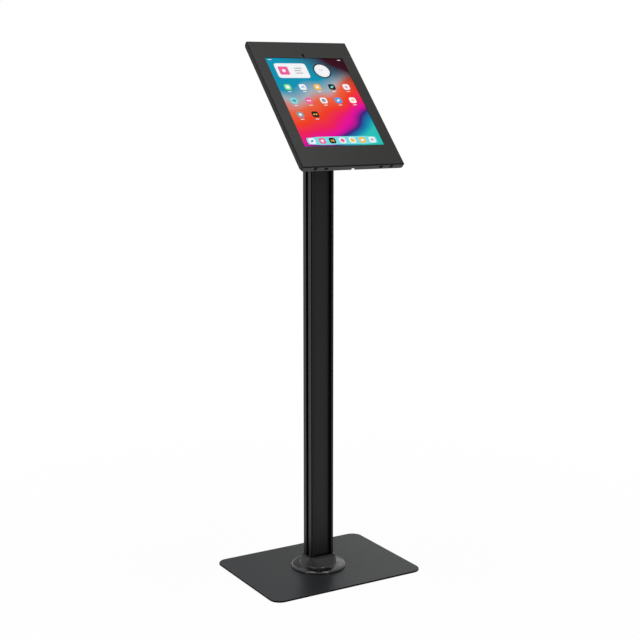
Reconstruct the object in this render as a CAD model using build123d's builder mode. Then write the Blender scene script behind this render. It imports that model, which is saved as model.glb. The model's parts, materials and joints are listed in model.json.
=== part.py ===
from build123d import *
import math
import os

# Tablet floor stand. Millimetres, +Z up, the front faces -Y.
# Origin: on the floor, under the middle of the base plate and of the column.

# Base plate and rubber pads
plate_width = 400
plate_depth = 300
plate_thickness = 4
plate_corner_radius = 26
plate_edge_chamfer = 0.5
pad_radius = 14
pad_thickness = 1
pad_inset = 30

# Foot flange under the collar
flange_radius = 44
flange_thickness = 5
flange_edge_chamfer = 0.8
base_bolt_circle_radius = 37
base_bolt_count = 4
base_bolt_start_angle = 45
base_bolt_radius = 3
base_bolt_head_radius = 6
base_bolt_end_gap = 0.5

# Collar round the foot of the column
collar_radius = 65
collar_side_height = 2
collar_rim_width = 6
collar_rim_rise = 5
collar_rim_step = 0.4
collar_rim_fall = 0.6
collar_wall = 1.2
collar_height = 30
collar_foot_radius = 43
collar_foot_fillet = 3
collar_sleeve_straight = 3
collar_sleeve_wall = 5
collar_sleeve_radius = 8
collar_top_rounding = 1.2
collar_foot_round_share = 0.985

# Column extrusion
column_width = 60
column_depth = 40
column_length = 1016
column_corner_radius = 3
channel_mouth = 45
channel_depth = 8
channel_inside = 53
groove_mouth = 10
groove_depth = 8
groove_inside = 15
lip_thickness = 2.2
lip_chamfer = 0.5
duct_wall = 2.5
port_radius = 2.1
port_wall = 1.9
port_inset = 3.4

# Cable cover in the rear channel
cable_cover_thickness = 1.6
cable_cover_leg = 1.4
cable_cover_leg_depth = 3.6
cable_cover_barb = 1.3
cable_cover_barb_height = 2
cable_cover_foot_gap = 60
cable_cover_head_gap = 40

# Screws into the column's ports, at the foot and at the head
port_screw_head_radius = 4.3
port_screw_length = 22

# Column head and tilt hinge
head_base_thickness = 5
head_base_edge = 1
tilt_axis_rise = 45.7
post_width = 21
post_depth = 26
post_root_fillet = 2.5
tilt_bolt_radius = 4
tilt_bolt_head_radius = 6.5
tilt_bolt_head_height = 8
tilt_bolt_end = 1.6
tilt_nut_height = 6.5
nut_across_flats = 13
tilt_friction_thickness = 0.8
tilt_friction_radius = 7.4
tilt_washer_thickness = 1.6
tilt_washer_radius = 8.5
tilt_stop_pin_radius = 1.5
tilt_stop_circle_radius = 9.5
tilt_stop_pin_recess = 0.4

# Tilting bracket
ear_thickness = 3
ear_half_height = 13.5
bracket_radius = 35
bracket_thickness = 3
bracket_edge_chamfer = 0.4
face_angle = 46.7
level_angle = 0
upright_angle = 90

# Swivel between bracket and enclosure
swivel_plate_radius = 42
swivel_plate_thickness = 2.5
swivel_ring_inner_radius = 10
swivel_ring_outer_radius = 21
swivel_ring_thickness = 1
swivel_bolt_radius = 4
swivel_bolt_head_radius = 10
swivel_bolt_head_height = 1.8
swivel_washer_radius = 8.5
swivel_washer_thickness = 1.5
swivel_nut_height = 4.5
swivel_bolt_end = 0.4
swivel_screw_circle_radius = 33
swivel_screw_count = 4
swivel_screw_start_angle = 45
swivel_screw_radius = 2
swivel_screw_head_radius = 4
swivel_screw_length = 6.4
press_nut_radius = 4.6
press_nut_height = 2.8
rotation_stop_radius = 2
rotation_stop_circle_radius = 27
rotation_stop_reach = 2.7
rotation_range = 180

# Enclosure: folded front cover and back shell, with room round the tablet for the foam
enclosure_side_room = 20
enclosure_end_room = 32
enclosure_depth = 13.3
enclosure_back = 27
cover_sheet = 1.5
cover_corner_radius = 3.2
cover_bend_radius = 3
window_overlap = 2
window_rise = 3.6
window_corner_radius = 2
camera_slot_width = 5.6
camera_slot_height = 10.4
corner_cut_along_side = 7.5
corner_cut_along_end = 4.5
corner_cut_depth = 4
security_screw_inset = 33.5
security_screw_depth = 6
security_screw_radius = 1.5
security_screw_head_radius = 2.8
security_screw_length = 7
hook_inset = 60.5
hook_slot_width = 9.4
hook_slot_start = 3.6
hook_slot_end = 10.3
hook_width = 8.6
cable_notch_width = 8
cable_notch_depth = 4.8
shell_sheet = 1.5
shell_gap = 0.25
shell_flange_height = 10
shell_corner_radius = 8
shell_bend_radius = 1.2
shell_notch_width = 14
screw_press_nut_radius = 3.4
screw_press_nut_height = 3

# Tablet and the foam that holds it
display_width = 207.4
display_height = 265.6
display_corner_radius = 1.2
tablet_side_border = 6.8
tablet_end_border = 20.2
tablet_thickness = 6.4
tablet_corner_radius = 18
tablet_back_fillet = 2.4
tablet_rim = 2.2
tablet_front_gap = 0.2
glass_thickness = 0.9
camera_radius = 1.7
camera_border_rise = 5.2
back_pad_size = 40
back_pad_side_inset = 40.5
back_pad_end_inset = 53
edge_block_length = 40
edge_block_height = 8
edge_block_end_inset = 50.5
edge_block_side_inset = 63

# Fits
running_clearance = 0.05
screw_clearance = 0.05
slip_clearance = 0.3
cut_overrun = 1

# Heights of the stack on the floor
plate_top = pad_thickness + plate_thickness
column_base = plate_top + flange_thickness
column_top = column_base + column_length
head_base_top = column_top + head_base_thickness
tilt_axis_height = column_top + tilt_axis_rise

# Places of the screw ports in the column's duct
duct_width = column_width - 2 * (groove_depth + duct_wall)
duct_depth = column_depth - 2 * (channel_depth + duct_wall)
port_spacing_x = duct_width - 2 * port_inset
port_spacing_y = duct_depth - 2 * port_inset

# Directions of the enclosure: out of its face, and up along its face
face_tilt = math.radians(face_angle)
face_out = Vector(0, -math.sin(face_tilt), math.cos(face_tilt))
face_up = Vector(0, math.cos(face_tilt), math.sin(face_tilt))
tilt_axis_point = Vector(0, 0, tilt_axis_height)
head_plane = Plane(origin=tilt_axis_point, x_dir=(1, 0, 0), z_dir=face_out)

# Sizes that follow from the tablet's display, and places on the enclosure
tablet_width = display_width + 2 * tablet_side_border
tablet_height = display_height + 2 * tablet_end_border
enclosure_width = tablet_width + 2 * enclosure_side_room
enclosure_height = tablet_height + 2 * enclosure_end_room
window_width = display_width - 2 * window_overlap
window_height = display_height - 2 * window_overlap
camera_rise = window_rise + display_height / 2 + camera_border_rise
security_screw_spacing = enclosure_width - 2 * security_screw_inset
hook_spacing = enclosure_width - 2 * hook_inset
back_pad_spacing_x = tablet_width - 2 * back_pad_side_inset
back_pad_spacing_y = tablet_height - 2 * back_pad_end_inset
end_block_spacing = tablet_width - 2 * edge_block_end_inset
side_block_spacing = tablet_height - 2 * edge_block_side_inset

# Distances out from the tilt axis, measured along the face's normal
face_front = enclosure_back + enclosure_depth
cover_inside = face_front - cover_sheet
swivel_plate_back = enclosure_back - swivel_plate_thickness
bracket_front = swivel_plate_back - swivel_ring_thickness
bracket_back = bracket_front - bracket_thickness
swivel_nut_front = bracket_back - swivel_washer_thickness
swivel_nut_back = swivel_nut_front - swivel_nut_height
shell_floor = enclosure_back + shell_sheet
tablet_front = cover_inside - tablet_front_gap
tablet_back = tablet_front - tablet_thickness
glass_back = tablet_front - glass_thickness
shell_width = enclosure_width - 2 * (cover_sheet + shell_gap)
shell_height = enclosure_height - 2 * (cover_sheet + shell_gap)

# Distances out along the tilt bolt
ear_inside = post_width / 2 + tilt_friction_thickness
ear_outside = ear_inside + ear_thickness
tilt_washer_outside = ear_outside + tilt_washer_thickness


def finish(builder, name):
    builder.part.label = name
    export_step(builder.part, f"parts/{name}.step")


def countersunk_screw(head_radius, shank_radius, length):
    """Countersunk screw, its flat head on the local XY plane and its shank pointing down."""
    head_height = head_radius - shank_radius
    with BuildPart() as screw:
        with BuildSketch(Plane.XZ):
            with BuildLine():
                Polyline(
                    (0, 0),
                    (head_radius, 0),
                    (shank_radius, -head_height),
                    (shank_radius, -length),
                    (0, -length),
                    close=True,
                )
            make_face()
        revolve(axis=Axis.Z)
    return screw.part


def hex_nut(bore_radius, height):
    """Hexagon nut on the local XY plane, rising along its axis, with bevelled corners."""
    corner_radius = nut_across_flats / math.sqrt(3)
    bevel = corner_radius - nut_across_flats / 2
    with BuildPart() as nut:
        with BuildSketch():
            Circle(corner_radius)
        extrude(amount=height)
        chamfer(nut.edges().filter_by(GeomType.CIRCLE), length=bevel)
        with BuildSketch():
            RegularPolygon(corner_radius, 6)
            Circle(bore_radius, mode=Mode.SUBTRACT)
        extrude(amount=height, mode=Mode.INTERSECT)
    return nut.part


# Base plate: laser-cut steel, drilled and countersunk from below for the foot flange.
with BuildPart() as base_plate:
    with BuildSketch(Plane.XY.offset(pad_thickness)):
        RectangleRounded(plate_width, plate_depth, plate_corner_radius)
    extrude(amount=plate_thickness)
    chamfer(base_plate.faces().sort_by(Axis.Z)[-1].edges(), length=plate_edge_chamfer)
    with Locations(-Plane.XY.offset(pad_thickness)):
        with PolarLocations(base_bolt_circle_radius, base_bolt_count, base_bolt_start_angle):
            CounterSinkHole(
                base_bolt_radius + screw_clearance,
                base_bolt_head_radius + screw_clearance,
                counter_sink_angle=90,
            )
finish(base_plate, "base_plate")

# Rubber pads stuck under the corners of the plate.
with BuildPart() as foot_pads:
    with BuildSketch():
        with GridLocations(plate_width - 2 * pad_inset, plate_depth - 2 * pad_inset, 2, 2):
            Circle(pad_radius)
    extrude(amount=pad_thickness)
finish(foot_pads, "foot_pads")

# Foot flange: steel disc, tapped for the base bolts and countersunk for the column's screws.
with BuildPart() as foot_flange:
    with BuildSketch(Plane.XY.offset(plate_top)):
        Circle(flange_radius)
        with PolarLocations(base_bolt_circle_radius, base_bolt_count, base_bolt_start_angle):
            Circle(base_bolt_radius + screw_clearance, mode=Mode.SUBTRACT)
    extrude(amount=flange_thickness)
    top_rim = foot_flange.faces().sort_by(Axis.Z)[-1].outer_wire().edges()
    chamfer(top_rim, length=flange_edge_chamfer)
    with Locations(-Plane.XY.offset(plate_top)):
        with GridLocations(port_spacing_x, port_spacing_y, 2, 2):
            CounterSinkHole(
                port_radius + screw_clearance,
                port_screw_head_radius + screw_clearance,
                counter_sink_angle=90,
            )
finish(foot_flange, "foot_flange")

# Countersunk bolts that hold the plate to the foot flange.
base_bolt_length = plate_thickness + flange_thickness - base_bolt_end_gap
base_bolt = countersunk_screw(base_bolt_head_radius, base_bolt_radius, base_bolt_length)
with BuildPart() as base_bolts:
    with Locations(-Plane.XY.offset(pad_thickness)):
        with PolarLocations(base_bolt_circle_radius, base_bolt_count, base_bolt_start_angle):
            add(base_bolt)
finish(base_bolts, "base_bolts")

# Screws from the foot flange up into the column's ports.
port_screw = countersunk_screw(
    port_screw_head_radius, port_radius - screw_clearance, port_screw_length
)
with BuildPart() as foot_screws:
    with Locations(-Plane.XY.offset(plate_top)):
        with GridLocations(port_spacing_x, port_spacing_y, 2, 2):
            add(port_screw)
finish(foot_screws, "foot_screws")

# Collar: moulded cover with a rounded rim and a flat dish, from which a round foot runs up to the sleeve.
sleeve_width = column_width + 2 * collar_sleeve_wall
sleeve_depth = column_depth + 2 * collar_sleeve_wall
sleeve_start = plate_top + collar_height - collar_sleeve_straight
rim_crest_radius = collar_radius - collar_rim_width
rim_crest_height = plate_top + collar_side_height + collar_rim_rise
dish_radius = rim_crest_radius - collar_rim_step
dish_height = rim_crest_height - collar_rim_fall


def foot_section(inset):
    """Round foot of the collar's neck, drawn in and lowered by the inset."""
    reach = collar_foot_radius - inset
    with BuildSketch(Plane.XY.offset(dish_height - inset)) as section:
        RectangleRounded(2 * reach, 2 * reach, collar_foot_round_share * reach)
    return section.sketch


def sleeve_section(inset):
    """Upper end of the collar's neck, drawn in and lowered by the inset."""
    with BuildSketch(Plane.XY.offset(sleeve_start - inset)) as section:
        RectangleRounded(sleeve_width - 2 * inset, sleeve_depth - 2 * inset, collar_sleeve_radius - inset)
    return section.sketch


with BuildPart() as collar_inside:
    loft([foot_section(collar_wall), sleeve_section(collar_wall)])
    with BuildSketch(Plane.XY.offset(plate_top)):
        Circle(dish_radius - collar_wall)
    extrude(amount=dish_height - collar_wall - plate_top)

with BuildPart() as base_collar:
    loft([foot_section(0), sleeve_section(0)])
    extrude(base_collar.faces().sort_by(Axis.Z)[-1], amount=collar_sleeve_straight)
    fillet(base_collar.faces().sort_by(Axis.Z)[-1].edges(), radius=collar_top_rounding)
    with BuildSketch(Plane.XY.offset(plate_top)):
        Circle(dish_radius)
    extrude(amount=dish_height - plate_top)
    dish_edges = base_collar.edges().filter_by_position(Axis.Z, dish_height, dish_height)
    fillet(dish_edges.sort_by(SortBy.LENGTH)[:-1], radius=collar_foot_fillet)
    with BuildSketch(Plane.XZ):
        with BuildLine():
            Line((dish_radius - collar_wall, plate_top), (collar_radius, plate_top))
            Line((collar_radius, plate_top), (collar_radius, plate_top + collar_side_height))
            EllipticalCenterArc(
                (rim_crest_radius, plate_top + collar_side_height),
                collar_rim_width,
                collar_rim_rise,
                arc_size=90,
            )
            Line((rim_crest_radius, rim_crest_height), (dish_radius, dish_height))
            Line((dish_radius, dish_height), (dish_radius - collar_wall, dish_height))
            Line((dish_radius - collar_wall, dish_height), (dish_radius - collar_wall, plate_top))
        make_face()
    revolve(axis=Axis.Z)
    add(collar_inside.part, mode=Mode.SUBTRACT)
    with BuildSketch(Plane.XY.offset(plate_top)):
        RectangleRounded(
            column_width + 2 * slip_clearance,
            column_depth + 2 * slip_clearance,
            column_corner_radius + slip_clearance,
        )
    extrude(amount=collar_height + cut_overrun, mode=Mode.SUBTRACT)
finish(base_collar, "base_collar")

# Column: aluminium extrusion with undercut channels and grooves, a duct and four screw ports.
with BuildPart() as column:
    with BuildSketch(Plane.XY.offset(column_base)) as column_profile:
        RectangleRounded(column_width, column_depth, column_corner_radius)
        with GridLocations(0, column_depth - lip_thickness, 1, 2):
            Rectangle(channel_mouth, lip_thickness, mode=Mode.SUBTRACT)
        with GridLocations(0, column_depth - lip_thickness - channel_depth, 1, 2):
            Rectangle(channel_inside, channel_depth - lip_thickness, mode=Mode.SUBTRACT)
        with GridLocations(column_width - lip_thickness, 0, 2, 1):
            Rectangle(lip_thickness, groove_mouth, mode=Mode.SUBTRACT)
        with GridLocations(column_width - lip_thickness - groove_depth, 0, 2, 1):
            Rectangle(groove_depth - lip_thickness, groove_inside, mode=Mode.SUBTRACT)
        lip_corners = column_profile.vertices().filter_by(
            lambda corner: math.isclose(abs(corner.X), channel_mouth / 2)
            and math.isclose(abs(corner.Y), column_depth / 2)
            or math.isclose(abs(corner.X), column_width / 2)
            and math.isclose(abs(corner.Y), groove_mouth / 2)
        )
        chamfer(lip_corners, length=lip_chamfer)
        Rectangle(duct_width, duct_depth, mode=Mode.SUBTRACT)
        with GridLocations(port_spacing_x, port_spacing_y, 2, 2):
            Circle(port_radius + port_wall)
            Circle(port_radius, mode=Mode.SUBTRACT)
    extrude(amount=column_length)
finish(column, "column")

# Cable cover: extruded strip whose barbed legs snap behind the lips of the rear channel.
cover_half_width = channel_mouth / 2 - slip_clearance
barb_top = column_depth / 2 - lip_thickness - slip_clearance
with BuildPart() as rear_cable_cover:
    with BuildSketch(Plane.XY.offset(column_base + cable_cover_foot_gap)):
        with BuildLine():
            leg_inside = cover_half_width - cable_cover_leg
            strip_back = column_depth / 2
            strip_inside = strip_back - cable_cover_thickness
            leg_end = strip_inside - cable_cover_leg_depth
            Polyline(
                (0, strip_back),
                (cover_half_width, strip_back),
                (cover_half_width, barb_top),
                (cover_half_width + cable_cover_barb, barb_top),
                (cover_half_width, barb_top - cable_cover_barb_height),
                (cover_half_width, leg_end),
                (leg_inside, leg_end),
                (leg_inside, strip_inside),
                (0, strip_inside),
            )
            mirror(about=Plane.YZ)
        make_face()
    extrude(amount=column_length - cable_cover_foot_gap - cable_cover_head_gap)
finish(rear_cable_cover, "rear_cable_cover")

# Column head: cast cap with the post that carries the tilt bolt.
with BuildPart() as column_head:
    with BuildSketch(Plane.XY.offset(column_top)):
        RectangleRounded(column_width, column_depth, column_corner_radius)
    extrude(amount=head_base_thickness)
    chamfer(column_head.faces().sort_by(Axis.Z)[-1].edges(), length=head_base_edge)
    with BuildSketch(Plane.YZ.offset(-post_width / 2)):
        with Locations((0, tilt_axis_height)):
            Circle(post_depth / 2)
        with Locations((0, (column_top + tilt_axis_height) / 2)):
            Rectangle(post_depth, tilt_axis_rise)
    extrude(amount=post_width)
    post_root = column_head.edges().filter_by_position(Axis.Z, head_base_top, head_base_top)
    post_root = post_root.filter_by_position(Axis.X, -post_width / 2, post_width / 2)
    fillet(post_root, radius=post_root_fillet)
    with Locations(Plane.YZ.offset(post_width / 2)):
        with Locations((0, tilt_axis_height)):
            Hole(tilt_bolt_radius + running_clearance)
        with Locations((0, tilt_axis_height - tilt_stop_circle_radius)):
            Hole(tilt_stop_pin_radius + running_clearance)
    with Locations(Plane.XY.offset(head_base_top)):
        with GridLocations(port_spacing_x, port_spacing_y, 2, 2):
            CounterSinkHole(
                port_radius + screw_clearance,
                port_screw_head_radius + screw_clearance,
                counter_sink_angle=90,
            )
finish(column_head, "column_head")

# Screws from the head down into the column's ports.
with BuildPart() as head_screws:
    with Locations(Plane.XY.offset(head_base_top)):
        with GridLocations(port_spacing_x, port_spacing_y, 2, 2):
            add(port_screw)
finish(head_screws, "head_screws")

# Tilt bolt: socket-head bolt across the post and both ears.
with BuildPart() as tilt_bolt:
    shank_start = -tilt_washer_outside - tilt_nut_height - tilt_bolt_end
    with BuildSketch(Plane.YZ.offset(shank_start)):
        with Locations((0, tilt_axis_height)):
            Circle(tilt_bolt_radius)
    extrude(amount=tilt_washer_outside - shank_start)
    with BuildSketch(Plane.YZ.offset(tilt_washer_outside)):
        with Locations((0, tilt_axis_height)):
            Circle(tilt_bolt_head_radius)
    extrude(amount=tilt_bolt_head_height)
    with BuildSketch(Plane.YZ.offset(tilt_washer_outside + tilt_bolt_head_height)):
        with Locations((0, tilt_axis_height)):
            RegularPolygon(tilt_bolt_head_radius / 2, 6)
    extrude(amount=-tilt_bolt_head_height / 2, mode=Mode.SUBTRACT)
finish(tilt_bolt, "tilt_bolt")

# Nut on the free end of the tilt bolt.
tilt_nut_blank = hex_nut(tilt_bolt_radius + screw_clearance, tilt_nut_height)
with BuildPart() as tilt_nut:
    with Locations(Plane.YZ.offset(-tilt_washer_outside - tilt_nut_height)):
        with Locations((0, tilt_axis_height)):
            add(tilt_nut_blank)
finish(tilt_nut, "tilt_nut")


def washer_pair(builder_name, inner_face, thickness, radius, bore_radius):
    """Two flat rings on the tilt bolt, one on each side of the post."""
    with BuildPart() as pair:
        with BuildSketch(Plane.YZ.offset(inner_face)):
            with Locations((0, tilt_axis_height)):
                Circle(radius)
                Circle(bore_radius, mode=Mode.SUBTRACT)
        extrude(amount=thickness)
        mirror(about=Plane.YZ)
    finish(pair, builder_name)


# Steel washers outside the ears, and friction discs between the ears and the post.
tilt_bore_radius = tilt_bolt_radius + running_clearance
washer_pair("tilt_washers", ear_outside, tilt_washer_thickness, tilt_washer_radius, tilt_bore_radius)
washer_pair(
    "tilt_friction_washers",
    post_width / 2,
    tilt_friction_thickness,
    tilt_friction_radius,
    tilt_bore_radius,
)

# Tilt stop: pin pressed through the post, its ends in the arc slots of the ears.
stop_pin_reach = ear_outside - tilt_stop_pin_recess
with BuildPart() as tilt_stop_pin:
    with BuildSketch(Plane.YZ.offset(-stop_pin_reach)):
        with Locations((0, tilt_axis_height - tilt_stop_circle_radius)):
            Circle(tilt_stop_pin_radius)
    extrude(amount=2 * stop_pin_reach)
finish(tilt_stop_pin, "tilt_stop_pin")

# Tilt bracket: round flange with two ears, an arc slot in each ear for the tilt stop,
# and a half-circle slot in the flange for the rotation stop.
# In the plane of an ear, x runs up the face, y runs out of the face, and the pin hangs straight down.
pin_direction = -90 - face_angle
slot_first_angle = pin_direction + face_angle - upright_angle
slot_sweep = upright_angle - level_angle
with BuildPart() as tilt_bracket:
    with BuildSketch(head_plane.offset(bracket_back)):
        Circle(bracket_radius)
        Circle(swivel_bolt_radius + running_clearance, mode=Mode.SUBTRACT)
        with BuildLine(mode=Mode.PRIVATE):
            rotation_arc = CenterArc((0, 0), rotation_stop_circle_radius, 0, rotation_range)
        SlotArc(rotation_arc, 2 * (rotation_stop_radius + slip_clearance), mode=Mode.SUBTRACT)
    extrude(amount=bracket_thickness)
    flange_rims = tilt_bracket.edges().filter_by(GeomType.CIRCLE).filter_by(
        lambda rim: math.isclose(rim.radius, bracket_radius)
    )
    chamfer(flange_rims, length=bracket_edge_chamfer)
    for ear_start in (-ear_outside, ear_inside):
        ear_plane = Plane(
            origin=tilt_axis_point + Vector(ear_start, 0, 0),
            x_dir=face_up,
            z_dir=(1, 0, 0),
        )
        with BuildSketch(ear_plane):
            Circle(ear_half_height)
            with Locations((0, bracket_back / 2)):
                Rectangle(2 * ear_half_height, bracket_back)
            Circle(tilt_bolt_radius + running_clearance, mode=Mode.SUBTRACT)
            with BuildLine(mode=Mode.PRIVATE):
                tilt_arc = CenterArc((0, 0), tilt_stop_circle_radius, slot_first_angle, slot_sweep)
            SlotArc(tilt_arc, 2 * (tilt_stop_pin_radius + slip_clearance), mode=Mode.SUBTRACT)
        extrude(amount=ear_thickness)
finish(tilt_bracket, "tilt_bracket")

# Friction ring between the bracket's flange and the swivel plate.
with BuildPart() as swivel_friction_ring:
    with BuildSketch(head_plane.offset(bracket_front)):
        Circle(swivel_ring_outer_radius)
        Circle(swivel_ring_inner_radius, mode=Mode.SUBTRACT)
    extrude(amount=swivel_ring_thickness)
finish(swivel_friction_ring, "swivel_friction_ring")

# Swivel plate: steel disc screwed to the back shell.
with BuildPart() as swivel_plate:
    with BuildSketch(head_plane.offset(swivel_plate_back)):
        Circle(swivel_plate_radius)
        Circle(swivel_bolt_radius + screw_clearance, mode=Mode.SUBTRACT)
        with Locations((0, rotation_stop_circle_radius)):
            Circle(rotation_stop_radius + screw_clearance, mode=Mode.SUBTRACT)
    extrude(amount=swivel_plate_thickness)
    back_rim = swivel_plate.edges().filter_by(GeomType.CIRCLE).filter_by(
        lambda rim: math.isclose(rim.radius, swivel_plate_radius)
    )
    chamfer(back_rim, length=bracket_edge_chamfer)
    with Locations(-head_plane.offset(swivel_plate_back)):
        with PolarLocations(
            swivel_screw_circle_radius, swivel_screw_count, swivel_screw_start_angle
        ):
            CounterSinkHole(
                swivel_screw_radius + screw_clearance,
                swivel_screw_head_radius + screw_clearance,
                counter_sink_angle=90,
            )
finish(swivel_plate, "swivel_plate")

# Screws of the swivel plate, flush in its back, and their press nuts inside the shell.
swivel_screw = countersunk_screw(swivel_screw_head_radius, swivel_screw_radius, swivel_screw_length)
with BuildPart() as swivel_plate_screws:
    with Locations(-head_plane.offset(swivel_plate_back)):
        with PolarLocations(
            swivel_screw_circle_radius, swivel_screw_count, swivel_screw_start_angle
        ):
            add(swivel_screw)
finish(swivel_plate_screws, "swivel_plate_screws")

with BuildPart() as swivel_press_nuts:
    with BuildSketch(head_plane.offset(shell_floor)):
        with PolarLocations(
            swivel_screw_circle_radius, swivel_screw_count, swivel_screw_start_angle
        ):
            Circle(press_nut_radius)
            Circle(swivel_screw_radius + screw_clearance, mode=Mode.SUBTRACT)
    extrude(amount=press_nut_height)
finish(swivel_press_nuts, "swivel_press_nuts")

# Swivel bolt with its low head in the back shell's hole, its spring washer and its nut.
with BuildPart() as swivel_bolt:
    with BuildSketch(head_plane.offset(enclosure_back)):
        Circle(swivel_bolt_head_radius)
    extrude(amount=swivel_bolt_head_height)
    with BuildSketch(head_plane.offset(swivel_nut_back - swivel_bolt_end)):
        Circle(swivel_bolt_radius)
    extrude(amount=enclosure_back - swivel_nut_back + swivel_bolt_end)
finish(swivel_bolt, "swivel_bolt")

with BuildPart() as swivel_spring_washer:
    with BuildSketch(head_plane.offset(swivel_nut_front)):
        Circle(swivel_washer_radius)
        Circle(swivel_bolt_radius + screw_clearance, mode=Mode.SUBTRACT)
    extrude(amount=swivel_washer_thickness)
finish(swivel_spring_washer, "swivel_spring_washer")

swivel_nut_blank = hex_nut(swivel_bolt_radius + screw_clearance, swivel_nut_height)
with BuildPart() as swivel_nut:
    with Locations(head_plane.offset(swivel_nut_back)):
        add(swivel_nut_blank)
finish(swivel_nut, "swivel_nut")

# Rotation stop: pin pressed into the swivel plate, its end in the flange's half-circle slot.
with BuildPart() as rotation_stop_pin:
    with BuildSketch(head_plane.offset(bracket_front - rotation_stop_reach)):
        with Locations((0, rotation_stop_circle_radius)):
            Circle(rotation_stop_radius)
    extrude(amount=enclosure_back - bracket_front + rotation_stop_reach)
finish(rotation_stop_pin, "rotation_stop_pin")

# Planes of the enclosure's end walls: x runs across, y runs out of the face.
bottom_plane = Plane(
    origin=tilt_axis_point - face_up * (enclosure_height / 2),
    x_dir=(1, 0, 0),
    z_dir=-face_up,
)
top_plane = Plane(
    origin=tilt_axis_point + face_up * (enclosure_height / 2),
    x_dir=(-1, 0, 0),
    z_dir=face_up,
)
screw_out = face_front - security_screw_depth
hook_slot_middle = face_front - (hook_slot_start + hook_slot_end) / 2
hook_out = face_front - hook_slot_end + slip_clearance + shell_sheet / 2
wall_overrun = cover_sheet + shell_gap

# Back shell: folded steel tray inside the cover's walls, with a hook for each slot of the cover.
with BuildPart() as back_shell:
    with BuildSketch(head_plane.offset(enclosure_back)):
        RectangleRounded(shell_width, shell_height, shell_corner_radius)
    extrude(amount=shell_flange_height)
    fillet(back_shell.faces().sort_by(Axis(tilt_axis_point, face_out))[0].edges(), radius=shell_bend_radius)
    offset(
        amount=-shell_sheet,
        openings=back_shell.faces().sort_by(Axis(tilt_axis_point, face_out))[-1],
    )
    with BuildSketch(head_plane.offset(enclosure_back)):
        Circle(swivel_bolt_head_radius + slip_clearance)
        with PolarLocations(
            swivel_screw_circle_radius, swivel_screw_count, swivel_screw_start_angle
        ):
            Circle(swivel_screw_radius + screw_clearance)
    extrude(amount=shell_sheet, mode=Mode.SUBTRACT)
    for end_plane in (bottom_plane, top_plane):
        with BuildSketch(end_plane):
            with GridLocations(hook_spacing, 0, 2, 1):
                with Locations((0, hook_out)):
                    Rectangle(hook_width, shell_sheet)
        extrude(amount=-(wall_overrun + shell_sheet / 2))
    with BuildSketch(bottom_plane.offset(-wall_overrun)):
        with GridLocations(security_screw_spacing, 0, 2, 1):
            with Locations((0, screw_out)):
                Circle(security_screw_radius + screw_clearance)
        with Locations((0, enclosure_back + shell_flange_height / 2)):
            Rectangle(shell_notch_width, shell_flange_height)
    extrude(amount=-2 * shell_sheet, mode=Mode.SUBTRACT)
finish(back_shell, "back_shell")


def corner_cut_plane(side, end):
    """Plane that trims the rear corner where a side wall meets an end wall."""
    side_point = head_plane.from_local_coords(
        (side * enclosure_width / 2, end * (enclosure_height / 2 - corner_cut_along_side), enclosure_back)
    )
    end_point = head_plane.from_local_coords(
        (side * (enclosure_width / 2 - corner_cut_along_end), end * enclosure_height / 2, enclosure_back)
    )
    corner_point = head_plane.from_local_coords(
        (side * enclosure_width / 2, end * enclosure_height / 2, enclosure_back + corner_cut_depth)
    )
    across = end_point - side_point
    inward = across.cross(corner_point - side_point)
    if inward.dot(tilt_axis_point - side_point) < 0:
        inward = -inward
    return Plane(origin=side_point, x_dir=across, z_dir=inward)


# Front cover: folded and welded steel tray with the screen window, the camera slot and,
# in its lower wall, two countersinks, two hook slots and the cable notch.
with BuildPart() as front_cover:
    with BuildSketch(head_plane.offset(enclosure_back)):
        RectangleRounded(enclosure_width, enclosure_height, cover_corner_radius)
    extrude(amount=enclosure_depth)
    front_edges = front_cover.faces().sort_by(Axis(tilt_axis_point, face_out))[-1].edges()
    fillet(front_edges, radius=cover_bend_radius)
    offset(
        amount=-cover_sheet,
        openings=front_cover.faces().sort_by(Axis(tilt_axis_point, face_out))[0],
    )
    with BuildSketch(head_plane.offset(cover_inside)):
        with Locations((0, window_rise)):
            RectangleRounded(window_width, window_height, window_corner_radius)
        with Locations((0, camera_rise)):
            SlotOverall(camera_slot_height, camera_slot_width, rotation=90)
    extrude(amount=cover_sheet, mode=Mode.SUBTRACT)
    for end_plane in (bottom_plane, top_plane):
        with BuildSketch(end_plane):
            with GridLocations(hook_spacing, 0, 2, 1):
                with Locations((0, hook_slot_middle)):
                    Rectangle(hook_slot_width, hook_slot_end - hook_slot_start)
        extrude(amount=-cover_sheet, mode=Mode.SUBTRACT)
    with BuildSketch(bottom_plane):
        with Locations((0, enclosure_back + cable_notch_depth / 2)):
            Rectangle(cable_notch_width, cable_notch_depth)
    extrude(amount=-cover_sheet, mode=Mode.SUBTRACT)
    with Locations(bottom_plane):
        with Locations((-security_screw_spacing / 2, screw_out), (security_screw_spacing / 2, screw_out)):
            CounterSinkHole(
                security_screw_radius + screw_clearance,
                security_screw_head_radius + screw_clearance,
                depth=wall_overrun,
                counter_sink_angle=90,
            )
    for side in (-1, 1):
        for end in (-1, 1):
            split(bisect_by=corner_cut_plane(side, end), keep=Keep.TOP)
finish(front_cover, "front_cover")

# Security screws, flush in the lower wall, and their press nuts on the shell's flange.
security_screw = countersunk_screw(
    security_screw_head_radius, security_screw_radius, security_screw_length
)
with BuildPart() as security_screws:
    with Locations(bottom_plane):
        with Locations((-security_screw_spacing / 2, screw_out), (security_screw_spacing / 2, screw_out)):
            add(security_screw)
finish(security_screws, "security_screws")

with BuildPart() as screw_press_nuts:
    with BuildSketch(bottom_plane.offset(-wall_overrun - shell_sheet)):
        with GridLocations(security_screw_spacing, 0, 2, 1):
            with Locations((0, screw_out)):
                Circle(screw_press_nut_radius)
                Circle(security_screw_radius + screw_clearance, mode=Mode.SUBTRACT)
    extrude(amount=-screw_press_nut_height)
finish(screw_press_nuts, "screw_press_nuts")

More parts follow.
